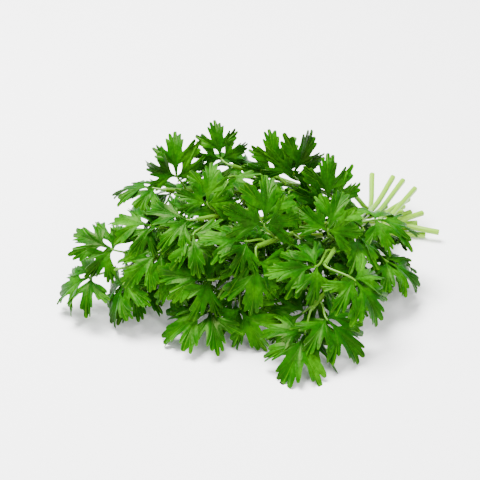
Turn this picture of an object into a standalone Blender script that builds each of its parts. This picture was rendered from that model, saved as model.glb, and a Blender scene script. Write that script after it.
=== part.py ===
"""A loose bunch of cut flat-leaf parsley, lying on a table.

Each sprig is one stem with three leaves, and each leaf is a stalk with three lobed leaflets.
+Z is up, +X runs towards the cut ends, and the origin is under the middle of the bunch.
The sprigs are laid one after another. Each stem and leaf starts in the place that the table
below gives it and, where something is in its way, it is turned a little until it lies clear.
"""

import itertools
import math

import bmesh
import bpy
import numpy as np
from mathutils import Matrix, Quaternion, Vector
from mathutils.bvhtree import BVHTree

MM = 0.001

# Driving dimensions, in metres.
STEM_BUTT_DIAMETER = 3.8 * MM
STEM_END_DIAMETER = 2.4 * MM
LEAFLET_LENGTH = 24.0 * MM  # the end leaflet of a leaf of size 1
BLADE_THICKNESS = 0.8 * MM
STALK_WIDTH = 1.8 * MM
GAP = 0.3 * MM  # between a leaf's stalk and its stem
CLEARANCE = 0.5 * MM  # around a stem or a leaf that passes another
BUNCH_SCALE = 1.0  # spreads the sprigs' places, and leaves their own sizes alone

# How a leaf is cut and bent.
SIDE_LEAFLET_SHARE = 0.92  # a side leaflet's length over the end leaflet's
SIDE_LEAFLET_ANGLE = math.radians(73)
END_STALK_SHARE = 0.22  # the end leaflet's own short stalk, over its length
DROOP = math.radians(38)  # how far the end leaflet's tip has bent down
SIDE_DROOP = math.radians(30)
LOBE_ANGLE = math.radians(31)  # between a leaflet's lobes
LOBE_HALF_ANGLE = math.radians(12)
NOTCH_SHARE = 0.6  # how far out the notches between lobes start

# How the stems are drawn together.
WAIST = Vector((90, 64, 0))  # where they cross, in millimetres over the table
BUNDLE_SIDE = Vector((-0.51, 0.86, 0))  # across the bundle there
STEM_STEPS = 5  # straight stretches between two of a stem's four places
STEM_SIDES = 2  # Blender's bevel resolution, which gives eight sides
STEM_BOW = 0.06  # how high a stem arches, over its length beyond the waist
STEM_TRIES = 6  # half thicknesses, each way, that a stem may move at the waist

# How far a leaf may turn, or its stalk's end may shift, to lie clear.
TURN_STEP = math.radians(9)
TURN_STEPS = 7
SHIFT_STEP = 4.0 * MM
SHIFT_COST = 1.6  # a shift counts for as much as this many turns
WIDE_REACH = 3  # how much wider the turns and shifts are where nothing near is clear

PILE_HEART = Vector((0, 14, -18)) * MM  # leaves turn their upper faces away from it
SKYWARD = 0.7  # and this much more towards the sky

STEM_GREEN = (0.36, 0.60, 0.10, 1.0)
LEAF_GREEN = (0.06, 0.26, 0.015, 1.0)

FRONT = Vector((0.0, -0.9, 0.45))  # the facing of a leaf that stands up

# Places in millimetres: the butt is the stem's cut end, the waist how far to the side and how
# high it crosses the others, and the end is where its last leaf starts. A leaf has how far along the
# stem it grows, the place where its leaflets part, the place its end leaflet points to, its
# size and, if it stands up, the way it faces.
SPRIGS = {
    "back": {
        "butt": (107, 77, 2), "waist": (12, 2), "end": (4, 62, 40),
        "leaves": {
            "end": (1.0, (-4, 70, 34), (-22, 92, 2), 1.05),
            "left": (0.92, (-14, 60, 44), (-42, 68, 36), 1.0),
            "right": (0.75, (26, 68, 34), (42, 92, 4), 1.05),
        },
    },
    "left_top": {
        "butt": (121, 73, 2), "waist": (8, 2), "end": (-47, 29, 56),
        "leaves": {
            "end": (1.0, (-54, 31, 56), (-80, 38, 48), 1.0),
            "left": (0.94, (-40, 32, 64), (-42, 46, 86), 1.0, FRONT),
            "right": (0.86, (-44, 46, 50), (-60, 68, 34), 1.0),
        },
    },
    "top": {
        "butt": (115, 68, 2), "waist": (4, 2), "end": (-5, 35, 70),
        "leaves": {
            "end": (1.0, (-12, 38, 71), (-16, 50, 90), 0.85, FRONT),
            "left": (0.88, (-8, 24, 68), (-16, 4, 54), 1.0),
            "right": (0.80, (2, 46, 64), (-20, 60, 66), 0.9),
        },
    },
    "left_under": {
        "butt": (124, 61, 2), "waist": (0, 2), "end": (-50, -12, 20),
        "leaves": {
            "end": (1.0, (-60, -12, 18), (-86, -8, 4), 0.9),
            "left": (0.95, (-56, -20, 14), (-68, -38, 0), 0.9),
            "right": (0.9, (-50, 2, 20), (-72, 20, 8), 0.95),
        },
    },
    "far_left": {
        "butt": (134, 56, 2), "waist": (-4, 2), "end": (-62, -28, 38),
        "leaves": {
            "end": (1.0, (-90, -25, 27), (-116, -20, 4), 1.1),
            "left": (0.96, (-70, -32, 27), (-73, -42, 0), 0.95),
            "right": (0.97, (-77, -20, 43), (-102, -8, 46), 1.0),
        },
    },
    "left_low": {
        "butt": (113, 87, 5), "waist": (4, 7), "end": (-42, -22, 48),
        "leaves": {
            "end": (1.0, (-48, -26, 46), (-60, -42, 26), 1.0),
            "left": (0.93, (-53, -14, 52), (-80, -6, 50), 0.95),
            "right": (0.9, (-42, -32, 38), (-32, -46, 18), 0.9),
        },
    },
    "left_mid": {
        "butt": (111, 78, 5), "waist": (0, 7), "end": (-26, -16, 62),
        "leaves": {
            "end": (1.0, (-31, -17, 62), (-56, -6, 56), 1.05),
            "left": (0.96, (-28, -24, 57), (-32, -40, 34), 0.95),
            "right": (0.93, (-20, -8, 68), (-24, 8, 84), 0.9, FRONT),
        },
    },
    "top_right": {
        "butt": (102, 86, 8), "waist": (8, 7), "end": (28, 24, 64),
        "leaves": {
            "end": (1.0, (23, 29, 68), (14, 42, 90), 0.95, FRONT),
            "left": (0.82, (30, 16, 62), (36, -4, 44), 0.95),
            "right": (0.88, (33, 28, 66), (44, 39, 84), 1.0, FRONT),
        },
    },
    "front_left": {
        "butt": (115, 76, 8), "waist": (-4, 7), "end": (-9, -40, 29),
        "leaves": {
            "end": (1.0, (-22, -48, 22), (-54, -64, 2), 1.2),
            "left": (0.93, (-18, -38, 32), (-44, -34, 26), 1.1),
            "right": (0.95, (0, -50, 22), (6, -62, 2), 1.0),
        },
    },
    "middle": {
        "butt": (123, 75, 7), "waist": (-8, 7), "end": (10, -33, 54),
        "leaves": {
            "end": (1.0, (10, -41, 49), (12, -58, 22), 1.1),
            "left": (0.96, (4, -34, 58), (-18, -33, 55), 1.0),
            "right": (0.92, (10, -26, 60), (6, -6, 80), 1.1, FRONT),
        },
    },
    "back_right": {
        "butt": (94, 108, 18), "waist": (1, 12), "end": (54, 16, 52),
        "leaves": {
            "end": (1.0, (50, 9, 58), (49, 20, 84), 1.0, FRONT),
            "left": (0.85, (58, 6, 56), (66, -12, 50), 0.9),
            "right": (0.75, (62, 34, 44), (60, 62, 26), 1.0),
        },
    },
    "right": {
        "butt": (114, 103, 16), "waist": (-5, 13), "end": (74, 5, 46),
        "leaves": {
            "end": (0.97, (84, 8, 47), (107, 13, 34), 1.05),
            "left": (0.75, (72, 20, 28), (62, 0, 22), 0.95),
            "right": (1.0, (72, -4, 49), (68, -28, 44), 1.0),
        },
    },
    "right_low": {
        "butt": (115, 82, 13), "waist": (-9, 12), "end": (80, -10, 34),
        "leaves": {
            "end": (0.97, (90, -13, 30), (110, -17, 14), 1.0),
            "left": (1.0, (78, -22, 34), (76, -46, 22), 1.0),
            "right": (0.8, (94, 2, 22), (108, -10, 2), 0.95),
        },
    },
    "front": {
        "butt": (119, 91, 16), "waist": (-12, 12), "end": (42, -58, 27),
        "leaves": {
            "end": (1.0, (38, -70, 18), (22, -94, 0), 1.2),
            "left": (0.93, (34, -60, 27), (12, -68, 16), 1.0),
            "right": (0.95, (50, -60, 20), (63, -67, 3), 1.1),
        },
    },
    "front_right": {
        "butt": (107, 100, 21), "waist": (-2, 16), "end": (50, -40, 46),
        "leaves": {
            "end": (1.0, (66, -42, 33), (92, -42, 8), 1.05),
            "left": (0.9, (45, -44, 47), (20, -44, 42), 1.05),
            "right": (0.85, (52, -26, 58), (64, -4, 66), 0.95),
        },
    },
}


def place(millimetres):
    """A place from the table, in metres."""
    return Vector(millimetres) * MM * BUNCH_SCALE


def new_material(name, colour, roughness):
    material = bpy.data.materials.new(name)
    material.use_nodes = True
    shader = material.node_tree.nodes["Principled BSDF"]
    shader.inputs["Base Color"].default_value = colour
    shader.inputs["Roughness"].default_value = roughness
    shader.inputs["Metallic"].default_value = 0.0
    return material


def smooth_route(butt, waist, middle, end):
    """A stem's route, as even steps along a Catmull-Rom curve through four places."""
    points = [2 * butt - waist, butt, waist, middle, end, 2 * end - middle]
    route = []
    for before, start, stop, after in zip(points, points[1:], points[2:], points[3:]):
        for step in range(STEM_STEPS):
            t = step / STEM_STEPS
            route.append(
                0.5
                * (
                    2 * start
                    + (stop - before) * t
                    + (2 * before - 5 * start + 4 * stop - after) * t**2
                    + (3 * start - before - 3 * stop + after) * t**3
                )
            )
    route.append(end)
    return np.array(route)


def stem_radii(count):
    """A stem's radius at each of count points, from the butt to its end."""
    return np.linspace(STEM_BUTT_DIAMETER / 2, STEM_END_DIAMETER / 2, count)


def smallest_gap(route, other):
    """The narrowest space between two stems, by the nearest points of their straight stretches."""
    a, b = route[:-1, None], other[None, :-1]
    along_a, along_b = route[1:, None] - a, other[None, 1:] - b
    aa, bb = (along_a**2).sum(2), (along_b**2).sum(2)
    ab = (along_a * along_b).sum(2)
    apart = a - b
    ra, rb = (apart * along_a).sum(2), (apart * along_b).sum(2)
    s = np.clip((ab * rb - ra * bb) / np.maximum(aa * bb - ab**2, 1e-18), 0, 1)
    t = np.clip((ab * s + rb) / bb, 0, 1)
    s = np.clip((ab * t - ra) / aa, 0, 1)
    distance = np.linalg.norm(apart + along_a * s[..., None] - along_b * t[..., None], axis=2)
    radii = stem_radii(len(route))
    return (distance - radii[:-1, None] - radii[None, :-1]).min()


def resting(point):
    """The point, raised so that a stem there lies on the table and not in it."""
    return Vector((point.x, point.y, max(point.z, STEM_BUTT_DIAMETER / 2)))


def stem_route(sprig, laid):
    """The route of a sprig's stem, which moves at the waist and bows until it lies clear."""
    butt, end = place(sprig["butt"]), place(sprig["end"])
    across, up = sprig["waist"]
    waist = (WAIST * MM + BUNDLE_SIDE * across * MM) * BUNCH_SCALE
    waist.z = up * MM * BUNCH_SCALE
    sky = Vector((0, 0, 1))
    steps = range(-STEM_TRIES, STEM_TRIES + 1)
    tries = itertools.product(steps, steps, range(-2, 5))
    for aside, higher, bow in sorted(tries, key=lambda t: (t[0] ** 2 + t[1] ** 2 + t[2] ** 2, t)):
        move = (BUNDLE_SIDE * aside + sky * higher) * STEM_BUTT_DIAMETER / 2
        # The butt follows half of the way, so that the stem stays nearly straight.
        start, crossing = resting(butt + move / 2), resting(waist + move)
        middle = (crossing + end) / 2
        middle.z += STEM_BOW * (end - crossing).length + bow * STEM_BUTT_DIAMETER
        route = smooth_route(start, crossing, resting(middle), end)
        if (route[:, 2] < stem_radii(len(route)) - 1e-6).any():
            continue
        if all(smallest_gap(route, other) > CLEARANCE for other in laid):
            return route
    raise RuntimeError("a stem found no way through the bundle")


def make_stem(name, route, material):
    curve = bpy.data.curves.new(name, "CURVE")
    curve.dimensions = "3D"
    curve.bevel_depth = STEM_BUTT_DIAMETER / 2
    curve.bevel_resolution = STEM_SIDES
    curve.use_fill_caps = True
    curve.materials.append(material)
    spline = curve.splines.new("POLY")
    spline.points.add(len(route) - 1)
    for point, at, radius in zip(spline.points, route, stem_radii(len(route))):
        point.co = (*at, 1.0)
        point.radius = radius / curve.bevel_depth
    spline.use_smooth = True
    return bpy.data.objects.new(name, curve)


def leaflet_outline(root, heading, length):
    """A leaflet's outline round from its root: a wedge that opens into three blunt lobes."""

    def polar(angle, share):
        angle = heading + angle
        return root + Vector((math.sin(angle), math.cos(angle))) * length * share

    outline = []
    for lobe, reach in ((-1, 0.84), (0, 1.0), (1, 0.84)):
        middle = lobe * LOBE_ANGLE
        if lobe > -1:
            outline.append(polar(middle - LOBE_ANGLE / 2, NOTCH_SHARE))
        outline.append(polar(middle - LOBE_HALF_ANGLE, reach * 0.86))
        outline.append(polar(middle - LOBE_HALF_ANGLE / 2, reach))
        outline.append(polar(middle + LOBE_HALF_ANGLE / 2, reach))
        outline.append(polar(middle + LOBE_HALF_ANGLE, reach * 0.86))
    return outline


def blade_mesh():
    """The three leaflets as one flat plate of size 1. Its foot is at the origin and it points to +Y."""
    half = STALK_WIDTH / 2
    neck = STALK_WIDTH
    end_root = neck + END_STALK_SHARE * LEAFLET_LENGTH
    side = SIDE_LEAFLET_SHARE * LEAFLET_LENGTH
    outline = [Vector((-half, 0.0))]
    outline += leaflet_outline(Vector((-half, neck / 2)), -SIDE_LEAFLET_ANGLE, side)
    outline += [Vector((-half, neck)), Vector((-half, end_root))]
    outline += leaflet_outline(Vector((0.0, end_root)), 0.0, LEAFLET_LENGTH)
    outline += [Vector((half, end_root)), Vector((half, neck))]
    outline += leaflet_outline(Vector((half, neck / 2)), SIDE_LEAFLET_ANGLE, side)
    outline.append(Vector((half, 0.0)))

    curve = bpy.data.curves.new("leaf_outline", "CURVE")
    curve.dimensions = "2D"
    curve.fill_mode = "BOTH"
    curve.extrude = BLADE_THICKNESS / 2
    spline = curve.splines.new("POLY")
    spline.points.add(len(outline) - 1)
    for point, at in zip(spline.points, outline):
        point.co = (at.x, at.y, 0.0, 1.0)
    spline.use_cyclic_u = True
    flat = bpy.data.objects.new("leaf_outline", curve)
    bpy.context.scene.collection.objects.link(flat)
    graph = bpy.context.evaluated_depsgraph_get()
    mesh = bpy.data.meshes.new_from_object(flat.evaluated_get(graph))
    bpy.data.objects.remove(flat)

    # The stalk is drawn out of the foot's edge face, and each leaf then sets where it ends.
    shape = bmesh.new()
    shape.from_mesh(mesh)
    bmesh.ops.remove_doubles(shape, verts=shape.verts, dist=1e-6)
    foot = [face for face in shape.faces if all(abs(v.co.y) < 1e-6 for v in face.verts)]
    drawn = bmesh.ops.extrude_face_region(shape, geom=foot)
    tail = [item for item in drawn["geom"] if isinstance(item, bmesh.types.BMVert)]
    bmesh.ops.delete(shape, geom=foot, context="FACES")
    for vertex in tail:
        vertex.co.y -= STALK_WIDTH
    bmesh.ops.triangulate(shape, faces=shape.faces)
    bmesh.ops.recalc_face_normals(shape, faces=shape.faces)
    shape.to_mesh(mesh)
    shape.free()
    mesh.name = "leaf_blade"
    return mesh


def bent(points, size):
    """The flat blade at its size, with its tip and its sides drooping as parts of circles."""
    x, y, z = points.T * np.array([[size], [size], [1.0]])
    turn = DROOP / ((1 + END_STALK_SHARE) * LEAFLET_LENGTH * size)
    roll = SIDE_DROOP / (SIDE_LEAFLET_SHARE * LEAFLET_LENGTH * size)
    ahead = np.maximum(y, 0)
    bent_y = np.sin(turn * ahead) / turn + z * np.sin(turn * ahead) + np.minimum(y, 0)
    bent_x = np.sin(roll * x) / roll + z * np.sin(roll * x)
    low = (1 - np.cos(turn * ahead)) / turn + (1 - np.cos(roll * x)) / roll
    return np.stack([bent_x, bent_y, z * np.cos(turn * ahead) * np.cos(roll * x) - low], axis=1)


def frame_from(ahead, facing):
    """A rotation whose +Y runs ahead and whose +Z leans towards facing."""
    ahead = ahead.normalized()
    across = ahead.cross(facing)
    if across.length < 1e-3:
        across = ahead.cross(Vector((0, 0, 1)))
    across.normalize()
    return Matrix((across, ahead, across.cross(ahead))).transposed()


class Leaf:
    """One leaf's points as it is turned about to find room. Its faces are those of the blade mesh."""

    def __init__(self, blade, size, root, joint, outwards, gap):
        points = np.empty(len(blade.vertices) * 3)
        blade.vertices.foreach_get("co", points)
        points = points.reshape(-1, 3)
        self.tail = np.flatnonzero((points[:, 1] < -STALK_WIDTH / 2) & (abs(points[:, 0]) < STALK_WIDTH))
        self.tail_signs = np.sign(points[self.tail][:, [0, 2]])
        self.local = bent(points, size)
        self.local[self.tail] = 0
        self.faces = [tuple(face.vertices) for face in blade.polygons]
        self.root, self.joint, self.outwards, self.gap = root, joint, outwards, gap

    def placed(self, rotation, shift):
        """World points, turned and shifted. The stalk ends square to the stem, at the gap."""
        joint = self.joint + shift
        world = self.local @ np.array(rotation).T + np.array(joint)
        out = self.outwards(joint)
        across = (rotation.col[0] - out * rotation.col[0].dot(out)).normalized()
        thick = across.cross(out)
        end = np.array(self.root + out * self.gap)
        for index, (side, top) in zip(self.tail, self.tail_signs):
            world[index] = end + side * np.array(across) * STALK_WIDTH / 2
            world[index] += top * np.array(thick) * BLADE_THICKNESS / 2
        return world


def swollen(points, faces, by):
    """The points, moved outwards along their normals."""
    corners = points[np.array(faces)]
    normals = np.cross(corners[:, 1] - corners[:, 0], corners[:, 2] - corners[:, 0])
    at_points = np.zeros_like(points)
    for corner in range(3):
        np.add.at(at_points, np.array(faces)[:, corner], normals)
    lengths = np.linalg.norm(at_points, axis=1, keepdims=True)
    return points + at_points / np.maximum(lengths, 1e-12) * by


def folds(points, faces):
    """Whether the surface passes through itself, as it does where a stalk is turned too far."""
    tree = BVHTree.FromPolygons(points.tolist(), faces)
    return any(not set(faces[a]) & set(faces[b]) for a, b in tree.overlap(tree))


class Pile:
    """What has been laid so far, for telling whether a new piece would touch it."""

    def __init__(self):
        self.trees = []

    def add(self, name, points, faces):
        tree = BVHTree.FromPolygons(points.tolist(), faces)
        self.trees.append((name, tree, points.min(0), points.max(0)))

    def touches(self, points, faces, leave_out=()):
        low, high = points.min(0), points.max(0)
        near = [
            tree
            for name, tree, tree_low, tree_high in self.trees
            if name not in leave_out and (low <= tree_high).all() and (high >= tree_low).all()
        ]
        if not near:
            return False
        mine = BVHTree.FromPolygons(points.tolist(), faces)
        return any(mine.overlap(tree) for tree in near)


def turns(reach):
    """Turns and shifts to try, the smallest first. All of them are reach times as wide."""
    steps = range(-TURN_STEPS, TURN_STEPS + 1)
    ways = [Vector(way) for way in itertools.product((-1, 0, 1), repeat=3)]
    found = []
    for yaw, pitch, roll in itertools.product(steps, repeat=3):
        turned = math.sqrt(yaw**2 + pitch**2 + roll**2)
        if turned > TURN_STEPS:
            continue
        rotation = (
            Quaternion((0, 0, 1), yaw * TURN_STEP * reach)
            @ Quaternion((1, 0, 0), pitch * TURN_STEP * reach)
            @ Quaternion((0, 1, 0), roll * TURN_STEP * reach)
        ).to_matrix()
        for way in ways:
            cost = turned + SHIFT_COST * way.length
            if cost <= TURN_STEPS:
                found.append((cost, len(found), rotation, way * SHIFT_STEP * reach))
    found.sort(key=lambda item: item[:2])
    return [(rotation, shift) for _, _, rotation, shift in found]


def lay_leaf(blade, pile, sprig_name, stem, spec, all_turns):
    """The points and the frame of a leaf that lies clear of the pile and the table."""
    along, joint, target, size = spec[:4]
    joint, target = place(joint), place(target)
    index = along * (len(stem) - 1)
    near = min(int(index), len(stem) - 2)
    tangent = Vector(stem[near + 1] - stem[near]).normalized()
    root = Vector(stem[near]).lerp(Vector(stem[near + 1]), index - near)
    at_end = along >= 1.0
    radius = float(np.interp(along, [0, 1], [STEM_BUTT_DIAMETER / 2, STEM_END_DIAMETER / 2]))

    def outwards(foot):
        """The way a stalk leaves: straight on from a stem's end, or square out of its side."""
        if at_end:
            return tangent
        way = foot - root
        return (way - tangent * way.dot(tangent)).normalized()

    facing = (joint - PILE_HEART * BUNCH_SCALE).normalized() + Vector((0, 0, SKYWARD))
    if len(spec) > 4:
        facing = spec[4]
    # The tip points to its place once it has drooped, so the foot aims higher.
    frame = frame_from(target - joint, facing) @ Quaternion((1, 0, 0), DROOP / 2).to_matrix()
    leaf = Leaf(blade, size, root, joint, outwards, GAP if at_end else radius + GAP)
    stem_name = f"{sprig_name}_stem"
    for rotation, shift in all_turns:
        turned = frame @ rotation
        points = leaf.placed(turned, shift)
        if points[:, 2].min() < 0:
            continue
        if pile.touches(swollen(points, leaf.faces, CLEARANCE), leaf.faces, (stem_name,)):
            continue
        if not pile.touches(points, leaf.faces) and not folds(points, leaf.faces):
            return points, Matrix.Translation(joint + shift) @ turned.to_4x4(), leaf.faces
    raise RuntimeError(f"a leaf of the {sprig_name} sprig found no room")


def make_leaf(name, blade, points, frame, material):
    """The leaf's object sits where its leaflets part, and its mesh is a bent copy of the blade."""
    mesh = blade.copy()
    mesh.name = name
    back = np.array(frame.inverted())
    local = points @ back[:3, :3].T + back[:3, 3]
    mesh.vertices.foreach_set("co", local.ravel())
    mesh.materials.clear()
    mesh.materials.append(material)
    mesh.update()
    leaf = bpy.data.objects.new(name, mesh)
    leaf.matrix_world = frame
    return leaf


def mesh_points(obj):
    """An object's points and faces as Blender evaluates it, where it lies."""
    mesh = bpy.data.meshes.new_from_object(obj.evaluated_get(bpy.context.evaluated_depsgraph_get()))
    points = np.empty(len(mesh.vertices) * 3)
    mesh.vertices.foreach_get("co", points)
    faces = [tuple(face.vertices) for face in mesh.polygons]
    bpy.data.meshes.remove(mesh)
    matrix = np.array(obj.matrix_world)
    return points.reshape(-1, 3) @ matrix[:3, :3].T + matrix[:3, 3], faces


def build_bunch():
    for obj in list(bpy.data.objects):
        bpy.data.objects.remove(obj)
    bunch = bpy.data.collections.new("parsley_bunch")
    bpy.context.scene.collection.children.link(bunch)
    centre = bpy.data.objects.new("bunch_centre", None)
    bunch.objects.link(centre)
    stem_material = new_material("parsley_stem", STEM_GREEN, 0.4)
    leaf_material = new_material("parsley_leaf", LEAF_GREEN, 0.45)

    routes = {}
    for name, sprig in SPRIGS.items():
        routes[name] = stem_route(sprig, routes.values())

    pile = Pile()
    pieces = []
    for name, route in routes.items():
        stem = make_stem(f"{name}_stem", route, stem_material)
        bunch.objects.link(stem)
        pieces.append(stem)
    bpy.context.view_layer.update()
    for stem in pieces:
        pile.add(stem.name, *mesh_points(stem))

    blade = blade_mesh()
    all_turns = turns(1) + turns(WIDE_REACH)
    for name, sprig in SPRIGS.items():
        for part, spec in sprig["leaves"].items():
            points, frame, faces = lay_leaf(blade, pile, name, routes[name], spec, all_turns)
            leaf = make_leaf(f"{name}_leaf_{part}", blade, points, frame, leaf_material)
            bunch.objects.link(leaf)
            pieces.append(leaf)
            pile.add(leaf.name, points, faces)

    # The origin goes under the middle of the bunch, at the height of what it rests on.
    low = np.min([tree[2] for tree in pile.trees], axis=0)
    high = np.max([tree[3] for tree in pile.trees], axis=0)
    for piece in pieces:
        piece.parent = centre
    centre.location = (-(low[0] + high[0]) / 2, -(low[1] + high[1]) / 2, -low[2])


build_bunch()
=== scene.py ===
# %% [markdown]
# A loose bunch of cut flat-leaf parsley, lying on a pale table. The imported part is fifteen
# sprigs: bare tubes for the stems and a bent plate for each leaf. It says where everything
# lies, so each plate and tube below is read for its place, and a finished leaf or stem is
# grown in exactly that place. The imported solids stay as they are, for collision.

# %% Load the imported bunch
import math
from itertools import combinations

import bmesh
import bpy
import numpy as np
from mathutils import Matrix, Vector
from mathutils.bvhtree import BVHTree


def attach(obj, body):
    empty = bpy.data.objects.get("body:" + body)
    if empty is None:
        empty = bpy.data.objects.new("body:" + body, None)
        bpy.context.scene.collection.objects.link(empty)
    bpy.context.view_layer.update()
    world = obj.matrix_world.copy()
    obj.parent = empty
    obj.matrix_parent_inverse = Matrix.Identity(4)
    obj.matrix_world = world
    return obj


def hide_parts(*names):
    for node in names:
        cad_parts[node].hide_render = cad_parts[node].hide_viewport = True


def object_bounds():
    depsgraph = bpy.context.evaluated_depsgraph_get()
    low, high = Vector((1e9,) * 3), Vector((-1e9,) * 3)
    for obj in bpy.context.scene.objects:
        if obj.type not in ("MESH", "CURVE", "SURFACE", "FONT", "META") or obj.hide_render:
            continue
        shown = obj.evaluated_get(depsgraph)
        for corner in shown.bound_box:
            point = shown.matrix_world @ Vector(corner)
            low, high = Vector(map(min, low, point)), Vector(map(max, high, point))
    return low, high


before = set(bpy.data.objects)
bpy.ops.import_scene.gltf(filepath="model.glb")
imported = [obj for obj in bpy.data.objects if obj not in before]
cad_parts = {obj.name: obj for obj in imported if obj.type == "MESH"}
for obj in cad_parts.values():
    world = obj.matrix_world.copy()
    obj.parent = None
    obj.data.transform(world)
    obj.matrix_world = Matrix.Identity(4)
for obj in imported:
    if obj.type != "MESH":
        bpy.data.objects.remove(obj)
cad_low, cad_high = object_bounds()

MM = 0.001
UP = np.array([0.0, 0.0, 1.0])
print("packed bunch, mm:", [round((b - a) / MM, 1) for a, b in zip(cad_low, cad_high)])

# %% [markdown]
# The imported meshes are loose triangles, so a copy is merged before it is measured. Corners
# less than a fiftieth of a millimetre apart are the same corner here, because the smallest
# edge in the part is much longer than that.

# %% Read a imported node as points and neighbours
MERGE = 0.02 * MM


def merged(node):
    """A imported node's points, and for each the numbers of the points it shares an edge with."""
    shape = bmesh.new()
    shape.from_mesh(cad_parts[node].data)
    bmesh.ops.remove_doubles(shape, verts=shape.verts, dist=MERGE)
    shape.verts.index_update()
    points = np.array([v.co for v in shape.verts])
    near = [{e.other_vert(v).index for e in v.link_edges} for v in shape.verts]
    shape.free()
    return points, near


stem_nodes = sorted(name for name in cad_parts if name.endswith("_stem"))
leaf_nodes = sorted(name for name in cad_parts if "_leaf_" in name)
print(len(stem_nodes), "stems and", len(leaf_nodes), "leaves")

# %% [markdown]
# A packed stem is a tube of rings. Starting from the ring at the cut end, each step along
# the edges reaches the next ring, so the middles of the rings are the stem's own line. The
# cut ends are all on the +X side of the bunch.

# %% Find the line and the thickness of each stem
RING_POINTS = 8


def stem_line(node):
    """The middle and the radius of each ring of a packed stem, from the cut end on."""
    points, near = merged(node)
    butt = points[points[:, 0].argmax()]
    ring = set(np.linalg.norm(points - butt, axis=1).argsort()[:RING_POINTS].tolist())
    seen, middles, radii = set(ring), [], []
    while ring:
        at = points[sorted(ring)]
        middles.append(at.mean(0))
        radii.append(np.linalg.norm(at - at.mean(0), axis=1).mean())
        ring = {n for point in ring for n in near[point]} - seen
        seen |= ring
    return np.array(middles), np.array(radii)


stem_lines = {node: stem_line(node) for node in stem_nodes}
print("rings:", sorted({len(line[0]) for line in stem_lines.values()}))

# %% [markdown]
# A packed leaf is a plate with three leaflets. Its stalk starts as a small oblong face at
# the stem and ends at the foot, where the leaflets part. The foot's long side runs across
# the leaf and its short side through it, so with the far tip they give the leaf's whole frame.

# %% Find the frame of each leaf
# A stalk's start has two short sides, two long ones and two diagonals.
START_FACE = sorted(2 * [0.8 * MM, 1.8 * MM, 1.97 * MM])
START_ERROR = 0.05 * MM
NEAREST = 12  # as many of a leaf's points are looked through for its stalk's start


def side_lengths(four):
    """The six distances between four points, shortest first."""
    return sorted(np.linalg.norm(four[i] - four[j]) for i in range(4) for j in range(i))


def tail_of(points, line):
    """The four points of a stalk's start: the nearest ones to the stem that make its small face."""
    apart = np.linalg.norm(points[:, None] - line[None], axis=2).min(1)
    best = None
    for four in map(list, combinations(apart.argsort()[:NEAREST].tolist(), 4)):
        off = np.abs(np.subtract(side_lengths(points[four]), START_FACE)).max()
        reach = apart[four].mean()
        if off < START_ERROR and (best is None or reach < best[0]):
            best = (reach, four)
    return best[1]


def unit(vector):
    """The direction of a vector."""
    return vector / np.linalg.norm(vector)


def leaf_frame(node):
    """Where the leaf's stalk starts and which way, its foot, its three axes, and its reach."""
    line = stem_lines[node.split("_leaf_")[0] + "_stem"][0]
    quarters = (0, 0.25, 0.5, 0.75)
    fine = np.array([a + (b - a) * t for a, b in zip(line, line[1:]) for t in quarters])
    points, near = merged(node)
    tail = tail_of(points, np.vstack([fine, line[-1:]]))
    foot = sorted({n for point in tail for n in near[point]} - set(tail))
    root, joint = points[tail].mean(0), points[foot].mean(0)
    blade = [n for n in range(len(points)) if n not in tail]
    far = np.linalg.norm(points[blade] - joint, axis=1).argsort()[-4:]
    tip = points[blade][far].mean(0)
    corner = points[foot[0]]
    sides = sorted((points[n] - corner for n in foot[1:]), key=np.linalg.norm)
    through = unit(sides[0])
    if np.dot(points[blade].mean(0) - joint, through) > 0:
        through = -through
    ahead = unit(np.cross(through, sides[1]))
    if np.dot(ahead, tip - joint) < 0:
        ahead = -ahead
    across = np.cross(ahead, through)
    start = sorted((points[n] - points[tail[0]] for n in tail[1:]), key=np.linalg.norm)
    out = unit(np.cross(start[0], start[1]))
    out = out if np.dot(out, joint - root) > 0 else -out
    return root, out, joint, np.array([across, ahead, through]), np.linalg.norm(tip - joint)


leaf_frames = {node: leaf_frame(node) for node in leaf_nodes}
reaches = [f[4] / MM for f in leaf_frames.values()]
print("leaves reach", round(min(reaches), 1), "to", round(max(reaches), 1), "mm from their feet")

# %% [markdown]
# Colours are written as they look on a screen, in hex, and one function turns them into the
# linear numbers that the shader wants. One more adds a node with its settings and links. A
# constant goes straight to the node's own input.

# %% Colour and node helpers


def colour(hex_code):
    """An sRGB hex colour as linear red, green, blue and alpha."""
    parts = [int(hex_code[i : i + 2], 16) / 255 for i in (1, 3, 5)]
    return (*[c / 12.92 if c <= 0.04045 else ((c + 0.055) / 1.055) ** 2.4 for c in parts], 1.0)


def add(material, kind, links=None, stops=(), **settings):
    """Adds a node. A link or a value goes to an input by its name or its number, and a colour
    ramp has stops: (position, hex colour)."""
    node = material.node_tree.nodes.new(kind)
    for name, value in settings.items():
        setattr(node, name, value)
    for key, value in (links or {}).items():
        if isinstance(value, bpy.types.NodeSocket):
            material.node_tree.links.new(value, node.inputs[key])
        else:
            node.inputs[key].default_value = value
    while stops and len(node.color_ramp.elements) < len(stops):
        node.color_ramp.elements.new(0.5)
    for number, (position, code) in enumerate(stops):
        node.color_ramp.elements[number].position = position
        node.color_ramp.elements[number].color = colour(code)
    return node


def fresh_material(name):
    """A material with no nodes yet."""
    material = bpy.data.materials.new(name)
    material.use_nodes = True
    material.node_tree.nodes.clear()
    return material


print("middle grey in linear light:", round(colour("#808080")[0], 3))

# %% [markdown]
# The upper face of a parsley leaf has a thin waxy skin: a full green with a soft gloss. The
# green isn't even. It drifts from leaf to leaf and over each leaf, the veins are a paler
# green, and the tips of the teeth are palest. The blade is thin enough for light to come
# through, so part of the shader is translucent. Two attributes of the mesh carry the pattern:
# "vein" rises to 1 on a vein, and "outwards" runs from the leaflet's foot to its rim.

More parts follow.
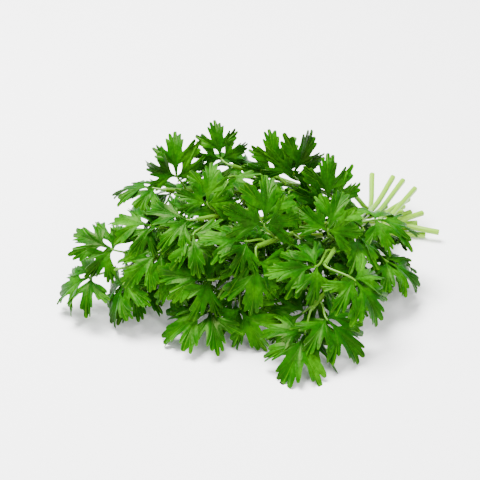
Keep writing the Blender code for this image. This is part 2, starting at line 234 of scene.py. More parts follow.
# %% The leaf materials
LEAF_PATCH = 18 * MM  # the green drifts over about this distance
SKIN_CELL = 1.4 * MM  # the puckers between the smallest veins, drawn coarse enough to show
SKIN_DEPTH = 0.3 * MM
VEIN_STARTS = 0.72  # the "vein" attribute is this much at a vein's edge and 1 on its middle
GLOW = "#52a000"  # the light that comes through a leaf
GLOW_SHARE = 0.2
WAX_TINT = "#bcdc6a"
SMOOTH = "SMOOTHSTEP"


def leaf_material(name, deep, middle, bright, vein, roughness):
    """One face of a leaf: three greens that drift, the colour of its veins, and its roughness."""
    material = fresh_material(name)
    place = add(material, "ShaderNodeTexCoord").outputs["Object"]
    drift = {"Vector": place, "Scale": 1 / LEAF_PATCH, "Detail": 3.0, "Roughness": 0.55}
    patch = add(material, "ShaderNodeTexNoise", drift).outputs["Fac"]
    greens = (0.3, deep), (0.5, middle), (0.72, bright)
    blade = add(material, "ShaderNodeValToRGB", {"Fac": patch}, greens).outputs["Color"]
    vein_share = add(material, "ShaderNodeAttribute", attribute_name="vein").outputs["Fac"]
    outwards = add(material, "ShaderNodeAttribute", attribute_name="outwards").outputs["Fac"]
    edges = {"Value": vein_share, "From Min": VEIN_STARTS, "From Max": 1.0, "To Max": 0.5}
    line = add(material, "ShaderNodeMapRange", edges, interpolation_type=SMOOTH).outputs[0]
    mix = {0: line, 6: blade, 7: colour(vein)}
    veined = add(material, "ShaderNodeMix", mix, data_type="RGBA").outputs[2]
    edges = {"Value": outwards, "From Min": 0.95, "From Max": 1.0, "To Max": 0.3}
    rim = add(material, "ShaderNodeMapRange", edges, interpolation_type=SMOOTH).outputs[0]
    mix = {0: rim, 6: veined, 7: colour(vein)}
    rimmed = add(material, "ShaderNodeMix", mix, data_type="RGBA").outputs[2]
    size = {"Vector": place, "Scale": 1 / SKIN_CELL}
    cells = add(material, "ShaderNodeTexVoronoi", size, feature="SMOOTH_F1").outputs["Distance"]
    # Painted shade: the skin is darkened towards the deep green along the cell pattern that the
    # bump also gives the puckers.
    edges = {"Value": cells, "From Min": 0.25, "From Max": 0.75, "To Max": 0.45}
    pucker_shade = add(material, "ShaderNodeMapRange", edges).outputs[0]
    mix = {0: pucker_shade, 6: rimmed, 7: colour(deep)}
    skin = add(material, "ShaderNodeMix", mix, data_type="RGBA").outputs[2]
    sunk = {0: line, 1: -0.8, 2: cells}
    height = add(material, "ShaderNodeMath", sunk, operation="MULTIPLY_ADD").outputs[0]
    relief = {"Height": height, "Strength": 0.5, "Distance": SKIN_DEPTH}
    bump = add(material, "ShaderNodeBump", relief).outputs[0]
    smooth, rough = roughness - 0.06, roughness + 0.08
    edges = {"Value": patch, "From Min": 0.3, "From Max": 0.7, "To Min": smooth, "To Max": rough}
    gloss = add(material, "ShaderNodeMapRange", edges).outputs[0]
    wax = {
        "Base Color": skin,
        "Roughness": gloss,
        "IOR": 1.45,
        "Specular IOR Level": 0.25,
        "Specular Tint": colour(WAX_TINT),
        "Normal": bump,
    }
    surface = add(material, "ShaderNodeBsdfPrincipled", wax).outputs[0]
    mix = {0: 0.5, 6: skin, 7: colour(GLOW)}
    through = add(material, "ShaderNodeMix", mix, data_type="RGBA").outputs[2]
    lit = add(material, "ShaderNodeBsdfTranslucent", {"Color": through, "Normal": bump}).outputs[0]
    both = add(material, "ShaderNodeMixShader", {0: GLOW_SHARE, 1: surface, 2: lit}).outputs[0]
    add(material, "ShaderNodeOutputMaterial", {"Surface": both})
    return material


leaf_top = leaf_material(
    "parsley_leaf_upper_face", "#022d00", "#105500", "#387f00", "#568f10", roughness=0.38
)
leaf_under = leaf_material(
    "parsley_leaf_underside", "#124803", "#205e08", "#3a7612", "#58862a", roughness=0.6
)
print("materials:", leaf_top.name, "and", leaf_under.name)

# %% [markdown]
# A stem is smooth, firm and ribbed lengthways. It is pale yellow-green and slightly see-through
# near the cut, and greener towards the leaves. The cut face shows wet, paler pith. The
# attribute "along" runs from the cut end, at 0, to the leaves, at 1, and "pith" is 1 on the cut.

# %% The stem material
STREAKS = 7.0  # about as many pale lengthways streaks in each radian round a stem
SKIN_GRAIN = 0.5 * MM
GRAIN_DEPTH = 0.1 * MM


def stem_material():
    """The skin and the cut pith of a stem. A leaf's stalk wears it too."""
    material = fresh_material("parsley_stem_skin")
    place = add(material, "ShaderNodeTexCoord").outputs["Object"]
    along = add(material, "ShaderNodeAttribute", attribute_name="along").outputs["Fac"]
    round_it = add(material, "ShaderNodeAttribute", attribute_name="round").outputs["Fac"]
    pith = add(material, "ShaderNodeAttribute", attribute_name="pith").outputs["Fac"]
    greens = (0.0, "#7aac06"), (0.25, "#679c02"), (0.7, "#4a8400"), (1.0, "#367000")
    skin = add(material, "ShaderNodeValToRGB", {"Fac": along}, greens).outputs["Color"]
    drawn_out = add(material, "ShaderNodeCombineXYZ", {0: round_it, 1: along}).outputs[0]
    size = {"Vector": drawn_out, "Scale": STREAKS, "Detail": 2.0}
    streak = add(material, "ShaderNodeTexNoise", size).outputs["Fac"]
    greens = (0.3, "#4a7c04"), (0.7, "#98bc2c")
    shade = add(material, "ShaderNodeValToRGB", {"Fac": streak}, greens).outputs["Color"]
    mix = {0: 0.22, 6: skin, 7: shade}
    streaked = add(material, "ShaderNodeMix", mix, data_type="RGBA").outputs[2]
    mix = {0: pith, 6: streaked, 7: colour("#a8c848")}
    wet = add(material, "ShaderNodeMix", mix, data_type="RGBA").outputs[2]
    size = {"Vector": place, "Scale": 1 / SKIN_GRAIN, "Detail": 2.0}
    grain = add(material, "ShaderNodeTexNoise", size).outputs["Fac"]
    relief = {"Height": grain, "Strength": 0.2, "Distance": GRAIN_DEPTH}
    flesh = {
        "Base Color": wet,
        "Roughness": 0.36,
        "IOR": 1.42,
        "Normal": add(material, "ShaderNodeBump", relief).outputs[0],
        "Subsurface Weight": 0.25,
        "Subsurface Radius": (0.6 * MM, 1.0 * MM, 0.3 * MM),
        "Subsurface Scale": 1.0,
    }
    surface = add(material, "ShaderNodeBsdfPrincipled", flesh).outputs[0]
    add(material, "ShaderNodeOutputMaterial", {"Surface": surface})
    return material


stem_skin = stem_material()
print("material:", stem_skin.name)

# %% [markdown]
# A leaflet is a wedge that opens like a fan. Three lobes grow from it, each with blunt teeth,
# and a vein runs from the foot into every tooth. So the sheet is laid out the same way: a grid
# whose columns run from the foot to the teeth and to the notches between them, one after the
# other. The grid is added as a primitive, its columns are spread into the fan, its foot is drawn
# out into a short stalk in edit mode, and subdivision rounds the teeth.

# %% Lay out the teeth of a leaflet
ROWS = 6  # from the foot to the rim
# A lobe is its heading in degrees, its reach over the leaflet's length, half its spread in
# degrees, and its number of teeth.
LEAFLET_PLANS = [
    [(-50, 0.86, 18, 3), (0, 1.0, 21, 5), (51, 0.84, 18, 4)],
    [(-51, 0.90, 18, 4), (-3, 1.0, 19, 4), (48, 0.82, 19, 4)],
    [(-48, 0.82, 19, 4), (2, 0.98, 20, 5), (52, 0.92, 17, 3)],
]
NOTCH_DEPTH = 0.21  # of the gap between two teeth, over the reach there
LOBE_NOTCH = 0.27  # how far out the gap between two lobes starts
LOBE_ROUNDNESS = 0.34  # how much less the outermost tooth of a lobe reaches
FLANK_REACH = 0.45  # of the leaflet's two flanks, over the reach of the lobe beside each
SHOULDER = 0.35  # how far a tooth's shoulders are from its tip, over the tooth's width
SHOULDER_REACH = 0.985  # over the tip's, so the tooth is blunt


def teeth_columns(plan, dice):
    """(angle, reach, crease, vein, heading, lobe reach) of each column, from edge to edge.

    A tooth has a shoulder, a tip and a shoulder. Its vein runs to the tip in a crease."""

    def edge(angle, reach):
        return angle, reach, 0.3, 0.0, angle, reach

    columns = [edge(plan[0][0] - plan[0][2] - 2, plan[0][1] * FLANK_REACH)]
    for number, (heading, reach, spread, teeth) in enumerate(plan):
        step = 2 * spread / teeth
        first = heading - spread
        if number:
            between = (columns[-1][0] + first) / 2
            columns.append(edge(between, LOBE_NOTCH + dice.uniform(-0.05, 0.05)))
        for tooth in range(teeth):
            angle = first + step * (tooth + 0.5) + dice.uniform(-0.8, 0.8)
            off = abs(angle - heading) / spread
            long = reach * (1 - LOBE_ROUNDNESS * off**1.5) * dice.uniform(0.95, 1.05)
            vein = 1.0 if off < 0.3 else 0.88
            beside, blunt = step * SHOULDER, long * SHOULDER_REACH
            columns.append((angle - beside, blunt, 1.0, 0.4, heading, reach))
            columns.append((angle, long, -1.0, vein, heading, reach))
            columns.append((angle + beside, blunt, 1.0, 0.4, heading, reach))
            if tooth < teeth - 1:
                notch = long * (1 - NOTCH_DEPTH)
                columns.append((angle + step / 2, notch, 0.3, 0.0, heading, reach))
    columns.append(edge(columns[-1][0] + 4, plan[-1][1] * FLANK_REACH))
    return columns


def polar(degrees, reach):
    """Places at an angle from +Y and a reach from the origin."""
    return np.stack([np.sin(np.radians(degrees)), np.cos(np.radians(degrees))]) * reach


dice = np.random.default_rng(11)
print("columns per leaflet:", [len(teeth_columns(plan, dice)) for plan in LEAFLET_PLANS])

# %% [markdown]
# Each column runs along its lobe's middle vein for a while and then branches off to its tooth.
# The sheet isn't flat. The blade puckers up between the veins, each lobe is tilted its own
# way, the rim ripples, and the two halves fold up a little from the middle vein.

# %% Spread the columns into a fan
BLADE = 25.0 * MM  # an end leaflet, from its foot to its tip
STALK_HALF = 0.65 * MM  # half the width of a leaflet's own short stalk
FOOT_FADE = 3  # that width is gone a third of the way out
PUCKER = 0.5 * MM
FOLD = math.tan(math.radians(8))
BRANCHING = 0.85  # how closely a tooth's vein keeps to its lobe's middle vein at first
LOBE_FOLD = 0.5  # how steeply a lobe rises on both sides of its vein
RIPPLE = 1.0 * MM


def smooth_step(t):
    """0 below 0 and 1 above 1, with a smooth rise between."""
    t = np.clip(t, 0, 1)
    return t * t * (3 - 2 * t)


def fan_points(columns, plan, column, out, width, stalk, dice):
    """The places of a leaflet's points. column is each point's column, and out is how far it is
    from the foot, 0 to 1. width spreads or draws in the lobes, and stalk is how long the
    leaflet's own stalk is."""
    angles, reaches, creases, _, headings, lobe_reaches = np.array(columns).T
    angles, headings = angles * width, headings * width
    tips = polar(angles, reaches)
    branches = (BRANCHING * polar(headings, lobe_reaches) + (1 - BRANCHING) * tips) / 2
    path = 2 * out * (1 - out) * branches[:, column] + out**2 * tips[:, column]
    from_foot = np.hypot(*path) * BLADE
    turn = np.arctan2(*path) * (0.75 + 0.25 * out)
    u = column / (len(columns) - 1) * 2 - 1
    x = np.sin(turn) * from_foot + u * STALK_HALF * (1 - smooth_step(out * FOOT_FADE))
    y = np.cos(turn) * from_foot + stalk
    tilt = np.zeros(len(x))
    for heading, _, spread, _ in plan:
        lean = dice.uniform(-0.5, 0.5)
        aside = np.sin(np.radians(angles[column] - heading))
        inside = np.exp(-(((angles[column] - heading) / (spread * 1.1)) ** 2))
        tilt += inside * from_foot * (lean * aside + LOBE_FOLD * np.abs(aside))
        tilt -= dice.uniform(0.0, 0.2) * inside * out**2 * BLADE
    crease = creases[column] * PUCKER * out**1.5
    phase = dice.uniform(0, 2 * math.pi)
    wave = RIPPLE * np.sin(turn * 7 + phase) * out**2
    z = FOLD * np.abs(x) + tilt * smooth_step(out) + crease + wave
    return np.stack([x, y, z], axis=1)


print("an end leaflet is", round(BLADE / MM), "mm long")

# %% [markdown]
# The grid becomes a leaflet here: its points move into the fan, its foot is drawn out into the
# short stalk, the teeth are rounded, and the sheet gets its thickness and its two faces.

# %% Model a leaflet
BLADE_THICKNESS = 0.3 * MM
AT_FOOT = 1e-6


def select_only(obj):
    """Makes an object the only selected one and the active one."""
    bpy.ops.object.select_all(action="DESELECT")
    obj.select_set(True)
    bpy.context.view_layer.objects.active = obj


def model_leaflet(name, plan, width, stalk, dice, fine):
    """A leaflet with its foot at the origin, pointing to +Y."""
    columns = teeth_columns(plan, dice)
    count = len(columns) - 1
    bpy.ops.object.select_all(action="DESELECT")
    bpy.ops.mesh.primitive_grid_add(
        x_subdivisions=count, y_subdivisions=ROWS, size=2, location=(0, 0, 0)
    )
    sheet = bpy.context.object
    sheet.name = name
    mesh = sheet.data
    flat = np.empty(len(mesh.vertices) * 3)
    mesh.vertices.foreach_get("co", flat)
    flat = flat.reshape(-1, 3)
    column = np.rint((flat[:, 0] + 1) / 2 * count).astype(int)
    out = (flat[:, 1] + 1) / 2
    points = fan_points(columns, plan, column, out, width, stalk, dice)
    mesh.vertices.foreach_set("co", points.ravel())
    veins = np.array(columns)[:, 3]
    for attribute, values in (("vein", veins[column]), ("outwards", out)):
        mesh.attributes.new(attribute, "FLOAT", "POINT").data.foreach_set("value", values)
    mesh.update()

    # The short stalk is drawn out of the foot's edge.
    select_only(sheet)
    bpy.ops.object.mode_set(mode="EDIT")
    bpy.ops.mesh.select_mode(type="VERT")
    bpy.ops.mesh.select_all(action="DESELECT")
    bpy.ops.object.mode_set(mode="OBJECT")
    for vertex, t in zip(mesh.vertices, out):
        vertex.select = bool(t < AT_FOOT)
    bpy.ops.object.mode_set(mode="EDIT")
    bpy.ops.mesh.extrude_region_move(TRANSFORM_OT_translate={"value": (0, -stalk, 0)})
    bpy.ops.mesh.select_all(action="SELECT")
    bpy.ops.mesh.normals_make_consistent(inside=False)
    bpy.ops.object.mode_set(mode="OBJECT")
    if fine:
        rounding = sheet.modifiers.new("rounded_teeth", "SUBSURF")
        rounding.levels = rounding.render_levels = 1
        bpy.ops.object.modifier_apply(modifier=rounding.name)
    wall = sheet.modifiers.new("blade", "SOLIDIFY")
    wall.thickness = BLADE_THICKNESS
    wall.offset = -1.0
    wall.material_offset = 1
    sheet.data.materials.append(leaf_top)
    sheet.data.materials.append(leaf_under)
    bpy.ops.object.modifier_apply(modifier=wall.name)
    return sheet


dice = np.random.default_rng(3)
trial = model_leaflet("leaflet_trial", LEAFLET_PLANS[0], 1.0, 6 * MM, dice, True)
upwards = max(p.normal.z for p in trial.data.polygons if p.material_index == 0) > 0.5
print("a leaflet has", len(trial.data.polygons), "faces, upper face up:", upwards)
bpy.data.objects.remove(trial)

# %% [markdown]
# A whole leaf is three leaflets that meet at the foot: the end one on a stalk of its own, and
# the side ones nearly at right angles to it. The leaf's stalk is a round tube behind the foot.
# It is modelled straight and one unit long, ring by ring from a circle, because each copy bends
# and stretches it between its stem and its foot. Several different leaves are modelled, and
# every leaf of the bunch is a copy of one of them.

# %% Model the whole leaves
SIDE_ANGLE = math.radians(74)
# Each leaflet's turn, its length over the end leaflet's, its width and its own stalk.
LEAFLETS = [
    (0, 1.0, 1.0, 6.4 * MM),
    (-SIDE_ANGLE, 0.9, 0.88, 2.6 * MM),
    (SIDE_ANGLE, 0.9, 0.88, 2.6 * MM),
]
STALK_RINGS = 9
STALK_SIDES = 8


def model_stalk():
    """A straight tube from y = -1 to y = 0, made by extruding a circle."""
    bpy.ops.object.select_all(action="DESELECT")
    bpy.ops.mesh.primitive_circle_add(
        vertices=STALK_SIDES, radius=1.0, fill_type="NGON", rotation=(math.pi / 2, 0, 0)
    )
    tube = bpy.context.object
    bpy.ops.object.transform_apply(location=True, rotation=True, scale=True)
    bpy.ops.object.mode_set(mode="EDIT")
    bpy.ops.mesh.select_all(action="SELECT")
    backwards = {"value": (0, -1 / STALK_RINGS, 0)}
    for _ in range(STALK_RINGS):
        bpy.ops.mesh.extrude_region_move(TRANSFORM_OT_translate=backwards)
    bpy.ops.mesh.select_all(action="SELECT")
    bpy.ops.mesh.normals_make_consistent(inside=False)
    bpy.ops.object.mode_set(mode="OBJECT")
    for name, value in (("stalk", 1.0), ("along", 1.0), ("outwards", 0.2)):
        values = [value] * len(tube.data.vertices)
        tube.data.attributes.new(name, "FLOAT", "POINT").data.foreach_set("value", values)
    tube.data.materials.append(stem_skin)
    return tube


def model_leaf(name, seed, fine):
    """Three leaflets and a stalk, joined. Its foot is at the origin."""
    dice = np.random.default_rng(seed)
    plans = [LEAFLET_PLANS[i] for i in dice.permutation(len(LEAFLET_PLANS))]
    leaflets = []
    for number, (turn, share, width, stalk) in enumerate(LEAFLETS):
        leaflet = model_leaflet(f"{name}_{number}", plans[number], width, stalk, dice, fine)
        leaflet.scale = (share, share, share)
        leaflet.rotation_euler = (0, 0, -turn)
        leaflets.append(leaflet)
    stalk = model_stalk()
    select_only(leaflets[0])
    for piece in (*leaflets, stalk):
        piece.select_set(True)
    bpy.ops.object.transform_apply(location=True, rotation=True, scale=True)
    bpy.ops.object.join()
    leaf = bpy.context.object
    leaf.name = name
    bpy.ops.object.shade_smooth_by_angle(angle=math.radians(60))
    bpy.context.scene.collection.objects.unlink(leaf)
    return leaf


fine_leaves = [model_leaf(f"fine_leaf_{seed}", seed, True) for seed in range(5)]
plain_leaves = [model_leaf(f"plain_leaf_{seed}", seed + 20, False) for seed in range(3)]
for kind, masters in (("fine", fine_leaves), ("plain", plain_leaves)):
    print(len(masters), kind, "leaves, the first with", len(masters[0].data.polygons), "faces")

# %% [markdown]
# A copy is fitted to its place in three steps. The flat leaf is scaled to its reach, then it
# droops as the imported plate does, its tip and its sides bending down along circles, with a
# little extra twist of its own. Then it is turned into the leaf's frame. Its stalk is laid along
# a smooth curve that leaves the stem squarely and meets the foot straight on.

# %% Fit a leaf to its place
DROOP = math.radians(38)
SIDE_DROOP = math.radians(30)
END_LENGTH = 29.3 * MM  # over which the end leaflet droops
SIDE_LENGTH = 22.1 * MM
FULL_REACH = 30.3 * MM  # how far a packed leaf of size 1 reaches from its foot
STALK_RADIUS = (0.8 * MM, 0.6 * MM)  # at the stem, and at the foot
STALK_SINK = 0.9 * MM  # how far a stalk starts inside its stem
STALK_END = 1.5 * MM  # how far beyond the foot it ends, under the leaflets
STALK_PULL = 0.3  # how far it keeps its direction at both ends, over its length
FLOOR_GAP = 0.1 * MM


def drooped(points, size, extra):
    """The flat leaf at its size, with its tip and sides bent down. extra is its own extra droop,
    side droop and twist."""
    x, y, z = points.T * size
    turn = (DROOP + extra[0]) / (END_LENGTH * size)
    roll = (SIDE_DROOP + extra[1]) / (SIDE_LENGTH * size)
    ahead = np.maximum(y, 0)
    z = z + extra[2] * x * ahead / (END_LENGTH * size)
    new_y = np.sin(turn * ahead) * (1 / turn + z) + np.minimum(y, 0)
    new_x = np.sin(roll * x) * (1 / roll + z)
    low = (1 - np.cos(turn * ahead)) / turn + (1 - np.cos(roll * x)) / roll
    return np.stack([new_x, new_y, z * np.cos(turn * ahead) * np.cos(roll * x) - low], axis=1)


def curve_frames(start, start_way, end, end_way, steps):
    """Points and directions along a smooth curve between two places."""
    reach = np.linalg.norm(end - start) * STALK_PULL
    a, b, c, d = start, start + start_way * reach, end - end_way * reach, end
    t = steps[:, None]
    points = (1 - t) ** 3 * a + 3 * (1 - t) ** 2 * t * b + 3 * (1 - t) * t**2 * c + t**3 * d
    ways = (1 - t) ** 2 * (b - a) + 2 * (1 - t) * t * (c - b) + t**2 * (d - c)
    return points, ways / np.linalg.norm(ways, axis=1, keepdims=True)


def fitted(master, root, out, joint, axes, reach, extra):
    """A copy of the master's mesh, drooped, placed, and joined to its stem by its stalk."""
    mesh = master.data.copy()
    points = np.empty(len(mesh.vertices) * 3)
    mesh.vertices.foreach_get("co", points)
    points = points.reshape(-1, 3)
    stalk = np.zeros(len(points))
    mesh.attributes["stalk"].data.foreach_get("value", stalk)
    stalk = stalk > 0.5
    size = reach / FULL_REACH
    world = drooped(points, size, extra) @ axes + joint
    steps = 1 + points[stalk, 1]
    start = root - out * STALK_SINK
    line, ways = curve_frames(start, out, joint + axes[1] * STALK_END, axes[1], steps)
    side = np.cross(ways, axes[2])
    side /= np.linalg.norm(side, axis=1, keepdims=True)
    top = np.cross(side, ways)
    radius = (STALK_RADIUS[0] + (STALK_RADIUS[1] - STALK_RADIUS[0]) * steps)[:, None]
    world[stalk] = line + (side * points[stalk, :1] + top * points[stalk, 2:]) * radius
    world[:, 2] = np.where(world[:, 2] < FLOOR_GAP, FLOOR_GAP, world[:, 2])
    mesh.vertices.foreach_set("co", world.ravel())
    mesh.update()
    return mesh


def grow_leaf(name, mesh):
    """Puts a fitted mesh into the scene as a piece of the bunch."""
    leaf = bpy.data.objects.new(name, mesh)
    bpy.context.scene.collection.objects.link(leaf)
    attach(leaf, "root")
    return leaf


dice = np.random.default_rng(5)
leaves = []
for number, node in enumerate(leaf_nodes):
    root, out, joint, axes, reach = leaf_frames[node]
    extra = dice.uniform(-0.15, 0.25), dice.uniform(-0.3, 0.3), dice.uniform(-0.25, 0.25)
    mesh = fitted(fine_leaves[number % len(fine_leaves)], root, out, joint, axes, reach, extra)
    leaf = grow_leaf(f"parsley_{node}", mesh)
    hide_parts(node)
    leaves.append(leaf)
print("grew", len(leaves), "leaves with", sum(len(leaf.data.polygons) for leaf in leaves), "faces")

# %% [markdown]
# A stem is one long ribbed tube. It is modelled once, straight and one unit long, by extruding
# a circle ring by ring. Its cut face is inset twice, and the middle is sunk a little for the pith.

# %% Model a straight stem
STEM_SIDES = 15
STEM_RINGS = 56
RIND = 0.22  # over the stem's radius
PITH_EDGE = 0.3
PITH_SINK = 0.0009  # over the stem's length


def model_stem():
    """A straight stem from z = 0, the cut, to z = 1. Its middle line is the Z axis."""
    bpy.ops.object.select_all(action="DESELECT")
    bpy.ops.mesh.primitive_circle_add(vertices=STEM_SIDES, radius=1.0, fill_type="NGON")
    tube = bpy.context.object
    bpy.ops.object.mode_set(mode="EDIT")
    bpy.ops.mesh.select_all(action="SELECT")
    for _ in range(STEM_RINGS):
        bpy.ops.mesh.extrude_region_move(TRANSFORM_OT_translate={"value": (0, 0, 1 / STEM_RINGS)})
    bpy.ops.mesh.select_all(action="SELECT")
    bpy.ops.mesh.normals_make_consistent(inside=False)
    bpy.ops.mesh.select_all(action="DESELECT")
    bpy.ops.object.mode_set(mode="OBJECT")
    cut = min(tube.data.polygons, key=lambda face: face.center.z)
    cut.select = True
    bpy.ops.object.mode_set(mode="EDIT")
    bpy.ops.mesh.select_mode(type="FACE")
    bpy.ops.mesh.inset(thickness=RIND)
    bpy.ops.mesh.inset(thickness=PITH_EDGE)
    bpy.ops.transform.translate(value=(0, 0, PITH_SINK))
    bpy.ops.object.mode_set(mode="OBJECT")
    tube.data.materials.append(stem_skin)
    bpy.context.scene.collection.objects.unlink(tube)
    return tube


straight_stem = model_stem()
print("the straight stem has", len(straight_stem.data.polygons), "faces")

# %% [markdown]
# Each copy is laid along the line of its packed tube, as thick as the tube is there. It has five
# shallow ribs, which fade out at its far end. Parsley stems swell where a leaf joins them,
# so the copy is thickened at each of its leaves.

# %% Lay a stem along each packed tube
RIBS = 5
RIB_DEPTH = 0.07
RIB_FADE = 12  # the ribs fade out over the last twelfth of a stem
JOINT_SWELL = 0.28
SWELL_LENGTH = 3.5 * MM
LOOK_ROUND = 0.012  # of a stem's length, to both sides, for its direction at a point


def along_line(line, shares):
    """The points at shares of a line's length."""
    lengths = np.concatenate([[0], np.cumsum(np.linalg.norm(np.diff(line, axis=0), axis=1))])
    at = shares * lengths[-1]
    return np.stack([np.interp(at, lengths, line[:, k]) for k in range(3)], axis=1)


def lay_stem(node):
    """A copy of the straight stem, laid along a packed one and put into the scene."""
    line, radii = stem_lines[node]
    mesh = straight_stem.data.copy()
    points = np.empty(len(mesh.vertices) * 3)
    mesh.vertices.foreach_get("co", points)
    points = points.reshape(-1, 3)
    share = np.clip(points[:, 2], 0, 1)
    middles = along_line(line, share)
    ahead = along_line(line, np.clip(share + LOOK_ROUND, 0, 1))
    behind = along_line(line, np.clip(share - LOOK_ROUND, 0, 1))
    way = (ahead - behind) / np.linalg.norm(ahead - behind, axis=1, keepdims=True)
    side = np.cross(way, UP)
    side /= np.linalg.norm(side, axis=1, keepdims=True)
    top = np.cross(side, way)
    radius = np.interp(share, np.linspace(0, 1, len(radii)), radii)
    round_it = np.arctan2(points[:, 1], points[:, 0])
    radius *= 1 + RIB_DEPTH * np.cos(RIBS * round_it) * smooth_step((1 - share) * RIB_FADE)
    # Leaves that join this stem make it swell.
    for leaf, (root, *_) in leaf_frames.items():
        if leaf.startswith(node[: -len("stem")] + "leaf_"):
            apart = np.linalg.norm(middles - root, axis=1)
            radius *= 1 + JOINT_SWELL * np.exp(-((apart / SWELL_LENGTH) ** 2))
    world = middles + (side * points[:, :1] + top * points[:, 1:2]) * radius[:, None]
    world[:, 2] = np.maximum(world[:, 2], FLOOR_GAP)
    mesh.vertices.foreach_set("co", world.ravel())
    rim = np.hypot(points[:, 0], points[:, 1])
    pith = ((share < 0.5 / STEM_RINGS) & (rim < 0.9)).astype(float)
    for name, values in (("along", share), ("round", round_it), ("pith", pith)):
        mesh.attributes.new(name, "FLOAT", "POINT").data.foreach_set("value", values)
    mesh.update()
    stem = bpy.data.objects.new(f"parsley_{node}", mesh)
    bpy.context.scene.collection.objects.link(stem)
    select_only(stem)
    bpy.ops.object.shade_smooth_by_angle(angle=math.radians(50))
    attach(stem, "root")
    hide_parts(node)
    return stem


stems = [lay_stem(node) for node in stem_nodes]
print("laid", len(stems), "stems")

# %% [markdown]
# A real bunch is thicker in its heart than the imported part, which has only so many leaves. So
# more leaves grow from the same stems, inside the pile. A try takes a place in the heart from
# seeded dice and a leaf that faces outwards and up there. It holds if the leaf lies inside the
# packed bunch's box, over the table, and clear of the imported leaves, of the other new ones and
# of every stem but its own. These leaves are plainer, because only parts of them show.

# %% Try an inner leaf
HEART = np.array([6.0, 2.0, 30.0]) * MM
HEART_SIZE = np.array([84.0, 56.0, 34.0]) * MM
FACING_FROM = np.array([0.0, 0.0, -0.04])  # inner leaves turn their upper faces away from here
LONGEST_STALK = 34 * MM
LOWEST_FOOT = 3 * MM
SLACK = 1 * MM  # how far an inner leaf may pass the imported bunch's box
STEM_POINTS = 64


def nearest_stem(place):
    """The stem nearest to a place, the point on it there, and its direction there."""
    best = None
    for node, (line, _) in stem_lines.items():
        fine = along_line(line, np.linspace(0.35, 0.98, STEM_POINTS))
        apart = np.linalg.norm(fine - place, axis=1)
        at = apart.argmin()
        if best is None or apart[at] < best[0]:
            before, after = fine[max(at - 1, 0)], fine[min(at + 1, STEM_POINTS - 1)]
            best = apart[at], node, fine[at], unit(after - before)
    return best[1:]


def mesh_tree(mesh):
    """A mesh's faces, in a tree that can be tested for overlaps."""
    faces = [tuple(p.vertices) for p in mesh.polygons]
    return BVHTree.FromPolygons([v.co for v in mesh.vertices], faces)


def clear_tree(mesh, own_stem):
    """A leaf's tree if it lies clear inside the bunch, or None."""
    points = np.array([v.co for v in mesh.vertices])
    inside = (points > low - SLACK).all() and (points < high + SLACK).all()
    if not inside or not points[:, 2].min() > 2 * FLOOR_GAP:
        return None
    tree = mesh_tree(mesh)
    others = leaf_trees + [other for node, other in stem_trees.items() if node != own_stem]
    return None if any(tree.overlap(other) for other in others) else tree


def inner_leaf(master, dice):
    """One try: a leaf's mesh and its tree, or None."""
    joint = HEART + unit(dice.normal(size=3)) * dice.uniform(0, 1) ** 0.4 * HEART_SIZE
    node, root, way = nearest_stem(joint)
    stalk = joint - root
    if np.linalg.norm(stalk) > LONGEST_STALK or joint[2] < LOWEST_FOOT:
        return None
    out = unit(stalk - way * stalk.dot(way))
    ahead = unit(unit(stalk) + way * dice.uniform(0, 0.8) + dice.normal(size=3) * 0.3)
    facing = unit(joint - FACING_FROM) + UP * 0.6 + dice.normal(size=3) * 0.25
    across = unit(np.cross(ahead, facing))
    axes = np.array([across, ahead, np.cross(across, ahead)])
    start = root + out * stem_lines[node][1][-1]
    reach = dice.uniform(15, 25) * MM
    extra = dice.uniform(-0.1, 0.4), dice.uniform(-0.3, 0.3), dice.uniform(-0.2, 0.2)
    mesh = fitted(master, start, out, joint, axes, reach, extra)
    tree = clear_tree(mesh, node)
    if tree is None:
        bpy.data.meshes.remove(mesh)
        return None
    return mesh, tree


low, high = np.array(cad_low), np.array(cad_high)
leaf_trees = [mesh_tree(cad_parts[node].data) for node in leaf_nodes]
stem_trees = {node: mesh_tree(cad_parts[node].data) for node in stem_nodes}
print("inner leaves keep clear of", len(leaf_trees), "leaves and", len(stem_trees), "stems")

# %% [markdown]
# Each inner leaf gets a fixed number of tries. Late ones find little room, so fewer grow than
# are asked for.

# %% Fill the heart of the bunch
INNER_LEAVES = 110
INNER_TRIES = 30

dice = np.random.default_rng(17)
inner = 0
for number in range(INNER_LEAVES):
    for _ in range(INNER_TRIES):
        found = inner_leaf(plain_leaves[number % len(plain_leaves)], dice)
        if found:
            inner += 1
            grow_leaf(f"parsley_inner_leaf_{inner:02d}", found[0])
            leaf_trees.append(found[1])
            break
print("grew", inner, "inner leaves")

# %% [markdown]
# The table is a plain pale sheet, much wider than the bunch. It isn't part of the object.

# %% The table
TABLE_SIZE = 8  # metres

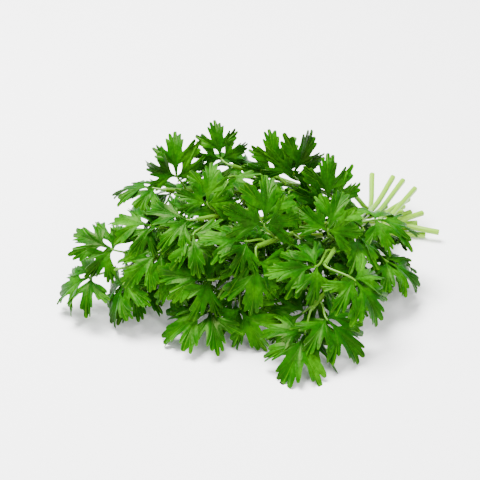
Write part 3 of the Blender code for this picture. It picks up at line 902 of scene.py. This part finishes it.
bpy.ops.object.select_all(action="DESELECT")
bpy.ops.mesh.primitive_plane_add(size=TABLE_SIZE, location=(0, 0, 0))
table = bpy.context.object
table.name = "table"
white = fresh_material("white_tabletop")
shine = add(white, "ShaderNodeBsdfPrincipled", {"Base Color": colour("#fbfbfb"), "Roughness": 0.7})
add(white, "ShaderNodeOutputMaterial", {"Surface": shine.outputs[0]})
table.data.materials.append(white)
print("table:", TABLE_SIZE, "m wide")

# %% [markdown]
# The light is soft and comes from all round, strongest from above and a little behind, which
# brings out the gloss and the glow of thin leaves. The camera looks down at the bunch from the
# front, from far enough away for a calm perspective.

# %% Light and camera
ELEVATION = math.radians(33)
DISTANCE = 0.75
TARGET = Vector((-9.8, -4.8, 37)) * MM
FOCAL_LENGTH = 90.6  # millimetres, as the sensor's width
SENSOR_WIDTH = 36
BUNCH_MIDDLE = (0, 0, 0.03)
WORLD_LIGHT = 0.85


def area_light(name, power, size, place):
    """A square panel of light that faces the bunch."""
    lamp = bpy.data.lights.new(name, "AREA")
    lamp.energy = power
    lamp.shape = "SQUARE"
    lamp.size = size
    light = bpy.data.objects.new(name, lamp)
    bpy.context.scene.collection.objects.link(light)
    light.location = place
    towards = Vector(place) - Vector(BUNCH_MIDDLE)
    light.rotation_euler = towards.to_track_quat("Z", "Y").to_euler()


area_light("sky_panel", 135, 0.9, (-0.45, 0.35, 1.5))
area_light("front_panel", 20, 1.0, (0.6, -1.1, 0.9))
world = bpy.data.worlds.new("studio")
world.use_nodes = True
background = world.node_tree.nodes["Background"]
background.inputs["Color"].default_value = (1, 1, 1, 1)
background.inputs["Strength"].default_value = WORLD_LIGHT
bpy.context.scene.world = world

lens = bpy.data.cameras.new("camera")
lens.lens = FOCAL_LENGTH
lens.sensor_width = SENSOR_WIDTH
camera = bpy.data.objects.new("camera", lens)
bpy.context.scene.collection.objects.link(camera)
back = Vector((0, -math.cos(ELEVATION), math.sin(ELEVATION)))
camera.location = TARGET + back * DISTANCE
camera.rotation_euler = back.to_track_quat("Z", "Y").to_euler()
bpy.context.scene.camera = camera
print("camera", DISTANCE, "m away,", len(bpy.data.lights), "panels of light")

# %% [markdown]
# The masters that everything was copied from aren't part of the bunch, so they go, and the
# sizes of the imported part and of the finished one are written down for comparing.

# %% Finish
for master in (*fine_leaves, *plain_leaves, straight_stem):
    bpy.data.objects.remove(master)
